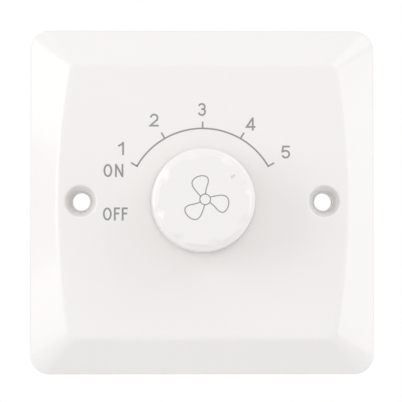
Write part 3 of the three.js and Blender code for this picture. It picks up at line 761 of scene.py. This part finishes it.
def characters():
    """Each label: its middle, in millimetres from the middle of the dial, and its strokes."""
    one = [[(0.52, -BAR), (0.52, BAR)], [(-0.7, 0.62), (0.1, 1.0), (0.52, 1.45)]]
    two = [[*arc(0.84, 175, -35, (0.0, TALL - 0.84), 10), (-0.95, -TALL), (1.12, -TALL)]]
    upper, lower = (0.72, 165, -55, (0, TALL - 0.72), 10), (0.8, 58, -165, (0, 0.8 - TALL), 10)
    three = [arc(*upper), arc(*lower), [(-0.15, 0.09), (0.42, 0.09)]]
    four = [[(0.52, -BAR), (0.52, BAR)], [(0.45, 1.4), (-0.98, -0.72), (1.17, -0.72)]]
    five = [[(1.0, TALL), (-0.64, TALL), (-0.86, 0.12), *arc(0.86, 128, -162, (-0.02, 0.86 - TALL), 10)]]
    return {
        "label_1": (-20.2, 13.75, one),
        "label_2": (-12.0, 20.8, two),
        "label_3": (-0.2, 23.45, three),
        "label_4": (11.9, 19.85, four),
        "label_5": (20.6, 12.9, five),
        "label_on": (-22.05, 8.3, letter_o(-1.38) + letter_n(0.6)),
        "label_off": (-21.55, -2.45, letter_o(-2.0) + letter_f(-0.15) + letter_f(1.78)),
    }


LABEL_LINE = 0.45 * MM


def labels():
    for name, (x, z, strokes) in characters().items():
        placed = [
            [(DIAL_CENTRE[0] + (x + px) * MM, DIAL_CENTRE[1] + (z + pz) * MM) for px, pz in stroke]
            for stroke in strokes
        ]
        ribbon(name, placed, LABEL_LINE, PANEL_Y, "base")


# One blade of a plain fan sign, as (radius in millimetres, degrees): out from the hub, round and back.
BLADE = (
    (1.28, 88),
    (2.6, 84),
    (4.2, 80),
    (5.3, 84),
    (5.75, 96),
    (5.75, 112),
    (5.3, 126),
    (4.2, 134),
    (2.8, 138),
    (1.28, 146),
)
SIGN_HUB = 1.28 * MM
SIGN_LINE = 0.26 * MM
SIGN_CENTRE = (0.35 * MM, 0.0)


def curve_through(points, steps=8):
    """A smooth open line through the points."""
    line = []
    ends = [points[0], *points, points[-1]]
    for p0, p1, p2, p3 in zip(ends, ends[1:], ends[2:], ends[3:]):
        for i in range(steps):
            t = i / steps
            place = []
            for a, b, c, d in zip(p0, p1, p2, p3):
                value = 2 * b + (c - a) * t
                value += (2 * a - 5 * b + 4 * c - d) * t * t
                value += (3 * b - a - 3 * c + d) * t**3
                place.append(value / 2)
            line.append(tuple(place))
    line.append(points[-1])
    return line


def fan_sign():
    centre = Vector(SIGN_CENTRE)
    edge = []
    for radius, degrees in BLADE:
        angle = math.radians(degrees)
        edge.append((radius * math.cos(angle), radius * math.sin(angle)))
    blades = []
    for k in range(3):
        turn = Matrix.Rotation(-2 * math.pi * k / 3, 2)
        blades.append([tuple(centre + turn @ (Vector(p) * MM)) for p in curve_through(edge)])
    ribbon("sign_blades", blades, SIGN_LINE, FACE_Y, "knob_body")
    hub = arc(SIGN_HUB, 0, 360, SIGN_CENTRE, 6)[:-1]
    ribbon("sign_hub", [hub], SIGN_LINE, FACE_Y, "knob_body", closed=True)


# ---------------------------------------------------------------- rear housing and its screws


def at(node):
    """A node's lowest and highest corners, in millimetres."""
    low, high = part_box(node)
    return low / MM, high / MM


def stadium(half_wide, half_tall, centre, depth, along="Y"):
    """A cutter with round ends; its long way is Z, or Y where it runs along Z."""
    rings = []
    for level in (-depth, depth):
        ring = outline(half_wide * MM, half_tall * MM, half_wide * 0.98 * MM, 0, level * MM, 8, 2)
        if along == "Z":
            ring = [Vector((p.x, p.z, p.y)) for p in ring]
        rings.append([p + Vector(centre) * MM for p in ring])
    return rings_mesh("slot", rings)


HOUSING_WALL = 1.8
HOUSING_CORNER = 3.0
HOUSING_HALF_Z = 29
WEB_START = 28.2  # inside the end wall, where the ear's web begins
POST = {"x": 19.4, "z": 24.4, "front": 11.4, "back": 29}
NOTCH = ((-10.6, 11.1, -31.0), (10.6, 32.0, -16.4))
VENT_PITCH = 5.2
VENTS = 5
EAR = {"radius": 3.4, "front": -3.6, "back": -1.8}


def rear_housing():
    low, high = at("rear_housing")
    half_x, half_z = high.x * MM, HOUSING_HALF_Z * MM
    front, back = low.y * MM, high.y * MM
    wall = HOUSING_WALL * MM
    in_x, in_z, in_corner, inset = half_x - wall, half_z - wall, 1.2 * MM, 4 * MM
    corners = [
        outline(half_x - inset, half_z - inset, 1 * MM, 0, back),
        outline(half_x, half_z, HOUSING_CORNER * MM, 0, back),
        outline(half_x, half_z, HOUSING_CORNER * MM, 0, front),
        outline(in_x, in_z, in_corner, 0, front),
        outline(in_x, in_z, in_corner, 0, back - wall),
        outline(in_x - inset, in_z - inset, 1 * MM, 0, back - wall),
    ]
    shell = rings_mesh("shell", filleted(corners, [r * MM for r in (1.1, 0.2, 0.2, 0.7)]))
    joins, cuts = [], [box_mesh(*NOTCH)]
    for ear_low, ear_high in SCREWS:
        x, z = (ear_low.x + ear_high.x) / 2 / MM, (ear_low.z + ear_high.z) / 2 / MM
        side = math.copysign(1, z)
        radius, ear_front, ear_back = EAR["radius"], EAR["front"], EAR["back"]
        profile = [(0.02, ear_front), (radius, ear_front), (radius, ear_back), (0.02, ear_back)]
        joins.append(turned("ear", profile, (x, 0, z), 0.25))
        web = sorted((side * WEB_START, z))
        joins.append(box_mesh((x - radius, ear_front, web[0]), (x + radius, ear_back, web[1])))
        post = [(0.02, POST["front"]), (1.8, POST["front"]), (1.95, POST["back"]), (0.02, POST["back"])]
        joins.append(turned("post", post, (math.copysign(POST["x"], x), 0, side * POST["z"]), 0.2, 24))
        cuts.append(turned("ear_hole", [(0.02, -6), (1.6, -6), (1.6, 0), (0.02, 0)], (x, 0, z), 0.01, 32))
    for i in range(VENTS):
        x = (i - (VENTS - 1) / 2) * VENT_PITCH
        cuts.append(stadium(0.9, 12, (x, back / MM, 6), 3))
        cuts.append(stadium(0.9, 5.5, (x, 19.5, 29), 3, "Z"))
    mesh = smooth(carved(shell, joins, cuts), 35)
    piece = add_object("housing_moulding", mesh, "base", "grey_plastic", ["rear_housing"])
    soften(piece, 0.18, 50)


def threaded(radius, start, end, pitch, depth=0.14):
    """(radius, height) points down the flank of a thread drawn as close rings."""
    turns = max(1, round(abs(end - start) / pitch))
    points = []
    for i in range(turns):
        y = start + (end - start) * i / turns
        points += [(radius, y), (radius - depth, y + (end - start) / turns / 2)]
    return points


def cross_screws():
    for i in range(1, 5):
        low, high = at(f"housing_screw_{i}")
        x, z = (low.x + high.x) / 2, (low.z + high.z) / 2
        top, seat = high.y, high.y - 1.4
        profile = [(0.02, top), (1.5, top), (2.35, top - 0.35), (2.5, top - 0.95), (2.5, seat), (1.2, seat)]
        profile += threaded(1.2, seat - 0.4, low.y + 0.6, 0.5)
        profile += [(0.9, low.y + 0.5), (0.3, low.y), (0.02, low.y)]
        wide, thin, deep = 1.35, 0.3, top - 0.75
        arms = [
            box_mesh((x - wide, deep, z - thin), (x + wide, top + 1, z + thin)),
            box_mesh((x - thin, deep, z - wide), (x + thin, top + 1, z + wide)),
        ]
        mesh = carved(turned("screw", profile, (x, 0, z), 0.12, 40), cuts=arms)
        add_object(f"cross_screw_{i}", smooth(mesh), "base", "steel", [f"housing_screw_{i}"])


def clamp_screws():
    for i in (1, 2):
        low, high = at(f"terminal_screw_{i}")
        x, z = (low.x + high.x) / 2, (low.z + high.z) / 2
        top, seat = high.y, high.y - 1.5
        profile = [(0.02, top), (2.6, top), (2.6, seat), (1.7, seat)]
        profile += threaded(1.7, seat - 0.3, low.y + 0.4, 0.6)
        profile += [(1.3, low.y), (0.02, low.y)]
        slot = box_mesh((x - 4, top - 0.8, z - 0.4), (x + 4, top + 1, z + 0.4))
        mesh = carved(turned("screw", profile, (x, 0, z), 0.18, 48), cuts=[slot])
        node = f"terminal_screw_{i}"
        add_object(f"clamp_screw_{i}", smooth(mesh), f"{node}_body", "steel", [node])


# ---------------------------------------------------------------- what stands on the board

LEAD_TIP = BOARD_FRONT - 1.2
LEAD_R = 0.4
CHOKE_LEADS = ((1.9, -9.8), (1.9, -12.6))
TRIAC_LEGS = (-2.54, 0, 2.54)
LONG_BODY, SHORT_BODY = 3.6, 2.1  # half the length of an axial part's body, thick or slim
SLIM = 1.1  # the radius that tells them apart
BAND_PITCH = 0.9


def rounded_block(low, high, corner, edge):
    """A block with round upright corners and rounded ends; its ends face along Y."""
    half_x, half_z = (high.x - low.x) / 2 * MM, (high.z - low.z) / 2 * MM
    inset = min(half_x, half_z) * 0.7
    rings = []
    for y, shrink in ((low.y, inset), (low.y, 0), (high.y, 0), (high.y, inset)):
        round_r = min(corner * MM, (half_x - shrink) * 0.9)
        rings.append(outline(half_x - shrink, half_z - shrink, round_r, 0, y * MM, 6, 4))
    mesh = rings_mesh("block", filleted(rings, [edge * MM, edge * MM], 5))
    mesh.transform(Matrix.Translation(((low.x + high.x) / 2 * MM, 0, (low.z + high.z) / 2 * MM)))
    return mesh


def straight_leads(name, places, top):
    mesh = tube_mesh(name, [[(x, y, z) for y in (LEAD_TIP, top)] for x, z in places], LEAD_R)
    add_object(name, smooth(mesh), "base", "tinned")


def capacitors():
    low, high = at("film_capacitor")
    low.y = BOARD_BACK + 0.5
    mesh = smooth(rounded_block(low, high, 0.9, 0.5))
    add_object("mains_capacitor", mesh, "base", "capacitor_yellow", ["film_capacitor"])
    x = (low.x + high.x) / 2
    straight_leads("mains_capacitor_leads", [(x, -12.2), (x, 2.8)], BOARD_BACK + 1)
    low, high = at("timing_capacitor")
    middle = ((low.x + high.x) / 2, high.y - 3.7, (low.z + high.z) / 2)
    lens = [(0.02, -1.3), (1.6, -1.3), (3.3, -0.85), (3.7, 0), (3.3, 0.85), (1.6, 1.3), (0.02, 1.3)]
    mesh = smooth(turned("lens", lens, middle, 0.8, 40, "Z"))
    add_object("timing_disc", mesh, "base", "capacitor_green", ["timing_capacitor"])
    straight_leads("timing_disc_leads", [(9.5, 12), (14.5, 12)], middle[1] - 1.6)


def axial(node, name, slot, waist):
    """A body lying over the board, with both leads bent down; waist is its middle's radius over its ends'."""
    low, high = at(node)
    radius = (high.z - low.z) / 2
    x0, x1, z = low.x + LEAD_R, high.x - LEAD_R, (low.z + high.z) / 2
    y = high.y - radius
    half = LONG_BODY if radius > SLIM else SHORT_BODY
    body = [(0.02, -half), (0.5, -half), (radius, -half + 0.4)]
    body += [(radius, -half * 0.62), (radius * waist, -half * 0.5)]
    body += [(r, -h) for r, h in reversed(body)]
    mesh = smooth(turned(name, body, ((x0 + x1) / 2, y, z), 0.3, 32, "X"))
    add_object(name, mesh, "base", slot, [node])
    lines = []
    for outer, inner in ((x0, (x0 + x1) / 2 - half + 0.2), (x1, (x0 + x1) / 2 + half - 0.2)):
        lines.append(rounded([(outer, LEAD_TIP, z), (outer, y, z), (inner, y, z)], 0.9, 6))
    add_object(f"{name}_leads", smooth(tube_mesh("leads", lines, 0.3)), "base", "tinned")
    return (x0 + x1) / 2, y, z, radius * waist


def axial_parts():
    for i in (1, 2):
        x, y, z, radius = axial(f"resistor_{i}", f"resistor_body_{i}", "resistor_beige", 0.86)
        for k, paint in enumerate(BAND_PAINTS):
            middle = x - 1.5 * BAND_PITCH + BAND_PITCH * k
            ring = [(radius - 0.2, -0.2), (radius + 0.03, -0.2), (radius + 0.03, 0.2), (radius - 0.2, 0.2)]
            mesh = smooth(turned("band", ring, (middle, y, z), 0.01, 32, "X", looped=True))
            add_object(f"resistor_{i}_band_{k + 1}", mesh, "base", None, material=paint)
    axial("diac", "diac_glass", "glass", 1.0)


def fuse():
    low, high = at("fuse")
    x, y = (low.x + high.x) / 2, (low.y + high.y) / 2
    reach = 5
    tube = [(1.9, low.z + 0.5), (2.3, low.z + 0.5), (2.3, high.z - 0.5), (1.9, high.z - 0.5)]
    mesh = smooth(turned("fuse_glass", tube, (x, y, 0), 0.05, 40, "Z", looped=True))
    add_object("fuse_glass", mesh, "base", "glass", ["fuse"], CLEAR_GLASS)
    caps = []
    for end, inward in ((low.z, 1), (high.z, -1)):
        cup = [(0.02, end), (2.6, end), (2.6, end + inward * reach), (2.35, end + inward * reach)]
        cup += [(2.35, end + inward * 0.35), (0.02, end + inward * 0.35)]
        caps.append(turned("cap", cup, (x, y, 0), 0.2, 40, "Z"))
    add_object("fuse_caps", smooth(joined("fuse_caps", caps)), "base", "tinned")
    sag = []
    for i in range(13):
        along = low.z + 0.4 + (high.z - low.z - 0.8) * i / 12
        sag.append((x, y - 0.25 * math.sin(math.pi * i / 12), along))
    add_object("fuse_wire", smooth(tube_mesh("fuse_wire", [sag], 0.08, 8)), "base", "tinned")


def choke():
    low, high = at("choke_core")
    x, z = (low.x + high.x) / 2, (low.z + high.z) / 2
    outer, inner = (high.x - low.x) / 2, 5.0
    ring = [(inner, low.y), (outer, low.y), (outer, high.y), (inner, high.y)]
    mesh = smooth(turned("choke_ring", ring, (x, 0, z), 0.9, 72, looped=True))
    add_object("choke_ring", mesh, "base", "ferrite", ["choke_core"])
    wire, clear, turns, per_turn = 0.45, 0.75, 18, 32
    middle, middle_y = (outer + inner) / 2, (high.y + low.y) / 2
    half_wide, half_tall = (outer - inner) / 2 + clear, (high.y - low.y) / 2 + clear
    line = []
    for i in range(turns * per_turn + 1):
        turn = 2 * math.pi * i / per_turn
        c, s = math.cos(turn), math.sin(turn)
        reach = (c**6 + s**6) ** (-1 / 6)  # a rounded square
        around = math.radians(-30 + 300 * i / (turns * per_turn))
        radius = middle + half_wide * reach * c
        height = middle_y + half_tall * reach * s
        line.append((x + radius * math.cos(around), height, z + radius * math.sin(around)))
    ends = []
    for end, (lead_x, lead_z) in zip((line[0], line[-1]), CHOKE_LEADS):
        bent = [(lead_x, LEAD_TIP, lead_z), (lead_x, 12.6, lead_z), (end[0], 12.6, end[2]), end]
        ends.append(rounded(bent, 1.2, 6))
    path = [*ends[0][:-1], *line, *reversed(ends[1][:-1])]
    mesh = smooth(tube_mesh("choke_coil", [path], wire, 10), 60)
    add_object("choke_coil", mesh, "base", "copper_enamel", ["choke_winding"])


def triac():
    low, high = at("triac")
    bolt = (0, 24.6, 0)
    hole_z = [(0.02, high.z - 6), (1.9, high.z - 6), (1.9, high.z + 1), (0.02, high.z + 1)]
    body = rounded_block(Vector((low.x, 12.2, low.z)), Vector((high.x, 21, high.z)), 0.3, 0.35)
    add_object("triac_body", smooth(body), "base", "dark_plastic", ["triac"])
    tab = rounded_block(Vector((-5, 20.6, high.z - 1.3)), Vector((5, high.y, high.z)), 0.3, 0.15)
    tab = carved(tab, cuts=[turned("bolt_hole", hole_z, bolt, 0.01, 32, "Z")])
    add_object("triac_tab", smooth(tab), "base", "tinned")
    legs = []
    z = high.z - 2.4
    for x in TRIAC_LEGS:
        legs.append(box_mesh((x - 0.7, 10.9, z - 0.25), (x + 0.7, 12.5, z + 0.25)))
        legs.append(box_mesh((x - 0.4, LEAD_TIP, z - 0.25), (x + 0.4, 10.95, z + 0.25)))
    soften(add_object("triac_leads", joined("triac_leads", legs), "base", "tinned"), 0.08)
    return [(x, z) for x in TRIAC_LEGS]


def solder_joints(triac_places):
    """A fillet of solder round every lead, on the side of the board that faces the plate."""
    places = [(10.2, -12.2), (10.2, 2.8), (9.5, 12), (14.5, 12), (-2.6, 13.4), (5.2, 13.4)]
    places += [(x, z) for x in (-18.6, -7.4) for z in (12.2, 16.4)]
    places += [*CHOKE_LEADS, *triac_places]
    top = BOARD_FRONT + 0.1
    cone = [(0.02, LEAD_TIP - 0.15), (0.42, LEAD_TIP - 0.1), (0.55, BOARD_FRONT - 0.45)]
    cone += [(1.0, BOARD_FRONT - 0.05), (1.0, top), (0.02, top)]
    joints = [turned("fillet", cone, (x, 0, z), 0.2, 20) for x, z in places]
    add_object("solder_joints", smooth(joined("solder_joints", joints)), "base", "tinned", material=SOLDER)


front_plate()
knob()
dial()
labels()
fan_sign()
rear_housing()
cross_screws()
clamp_screws()
capacitors()
axial_parts()
fuse()
choke()
solder_joints(triac())

# ---------------------------------------------------------------- surroundings and light


def floor():
    mesh = mesh_from("floor", lambda bm: bmesh.ops.create_grid(bm, x_segments=8, y_segments=8, size=3.0))
    mesh.transform(Matrix.Translation((0, 0, -0.35)))
    piece = bpy.data.objects.new("floor", mesh)
    bpy.context.scene.collection.objects.link(piece)
    mesh.materials.append(plastic("floor_paint", (0.85, 0.85, 0.85), 0.8))


def softbox(name, place, size, power, aim=(0, 0, 0)):
    data = bpy.data.lights.new(name, "AREA")
    data.shape = "RECTANGLE"
    data.size, data.size_y = size
    data.energy = power
    light = bpy.data.objects.new(name, data)
    light.location = place
    light.rotation_euler = (Vector(aim) - Vector(place)).to_track_quat("-Z", "Y").to_euler()
    bpy.context.scene.collection.objects.link(light)


def studio():
    world = bpy.data.worlds.new("studio")
    world.use_nodes = True
    bpy.context.scene.world = world
    nodes, links = world.node_tree.nodes, world.node_tree.links
    lit = nodes["Background"]
    lit.inputs["Color"].default_value = (1, 1, 1, 1)
    lit.inputs["Strength"].default_value = 0.77
    seen = nodes.new("ShaderNodeBackground")
    seen.inputs["Color"].default_value = (1, 1, 1, 1)
    seen.inputs["Strength"].default_value = 1.0
    path = nodes.new("ShaderNodeLightPath")
    mix = nodes.new("ShaderNodeMixShader")
    links.new(path.outputs["Is Camera Ray"], mix.inputs["Fac"])
    links.new(lit.outputs["Background"], mix.inputs[1])
    links.new(seen.outputs["Background"], mix.inputs[2])
    links.new(mix.outputs["Shader"], nodes["World Output"].inputs["Surface"])
    softbox("left", (-0.9, -0.5, 0.25), (0.8, 0.8), 3.7)
    softbox("right", (0.9, -0.5, 0.15), (0.8, 0.8), 0.6)
    softbox("side_right", (1.0, -0.15, 0.0), (0.6, 0.6), 1.3)
    softbox("top_right", (0.7, -0.6, 0.7), (0.6, 0.6), 1.5)
    softbox("top", (0.0, -0.5, 0.9), (0.9, 0.9), 0.6)
    bpy.context.scene.view_settings.view_transform = "Standard"


floor()
studio()
